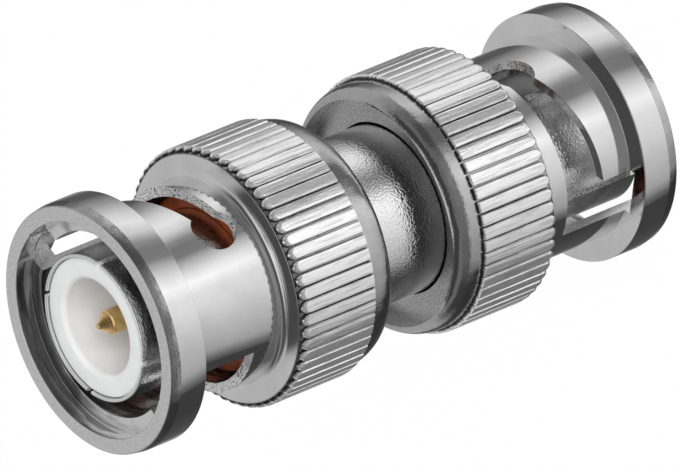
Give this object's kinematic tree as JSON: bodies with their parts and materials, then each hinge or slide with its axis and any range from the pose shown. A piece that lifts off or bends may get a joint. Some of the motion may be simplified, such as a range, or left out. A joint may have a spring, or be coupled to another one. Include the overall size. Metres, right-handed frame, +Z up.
{
  "type": "BNC male to male adapter",
  "caption": "Straight coaxial adapter with a slotted bayonet coupling nut, a sprung contact sleeve, a white insulator and a centre pin at each end, joined by a plain round body.",
  "frame": {"origin": "on the axis at the open face of the lower coupling nut, on which the adapter stands", "axes": "+Z up the axis from the lower plug to the upper plug; an angle about +Z is counted from +X"},
  "size_m": [0.0144, 0.0144, 0.0347],
  "materials": {
    "nickel_plate": "bright nickel plate over brass, slightly rough on the grip and the body",
    "gold_plate": "thin gold plate over brass",
    "white_insulation": "turned white insulation, satin",
    "red_rubber": "moulded red rubber",
    "spring_steel": "plated steel, fine grain"
  },
  "bodies": {
    "core": {"centre_body": "nickel_plate", "centre_pin": "gold_plate", "upper_outer_contact": "nickel_plate", "upper_insulator": "white_insulation", "upper_gasket": "red_rubber", "upper_front_washer": "spring_steel", "upper_wave_washer": "spring_steel", "lower_outer_contact": "nickel_plate", "lower_insulator": "white_insulation", "lower_gasket": "red_rubber", "lower_front_washer": "spring_steel", "lower_wave_washer": "spring_steel"},
    "upper_carrier": {"upper_thrust_washer": "spring_steel"},
    "upper_nut": {"upper_bayonet_nut": "nickel_plate", "upper_retaining_ring": "spring_steel"},
    "lower_carrier": {"lower_thrust_washer": "spring_steel"},
    "lower_nut": {"lower_bayonet_nut": "nickel_plate", "lower_retaining_ring": "spring_steel"}
  },
  "joints": [
    {"name": "upper_nut_draw", "type": "slide", "parent": "core", "child": "upper_carrier", "axis": [0, 0, 1], "range_m": [0, 0.0008], "stiffness_N_per_m": 10000, "springref_m": -0.0008, "deforming": ["upper_wave_washer"]},
    {"name": "upper_nut_spin", "type": "hinge", "parent": "upper_carrier", "child": "upper_nut", "pos_m": [0, 0, 0.0271], "axis": [0, 0, 1], "continuous": true},
    {"name": "lower_nut_draw", "type": "slide", "parent": "core", "child": "lower_carrier", "axis": [0, 0, -1], "range_m": [0, 0.0008], "stiffness_N_per_m": 10000, "springref_m": -0.0008, "deforming": ["lower_wave_washer"]},
    {"name": "lower_nut_spin", "type": "hinge", "parent": "lower_carrier", "child": "lower_nut", "pos_m": [0, 0, 0.0076], "axis": [0, 0, -1], "continuous": true}
  ]
}
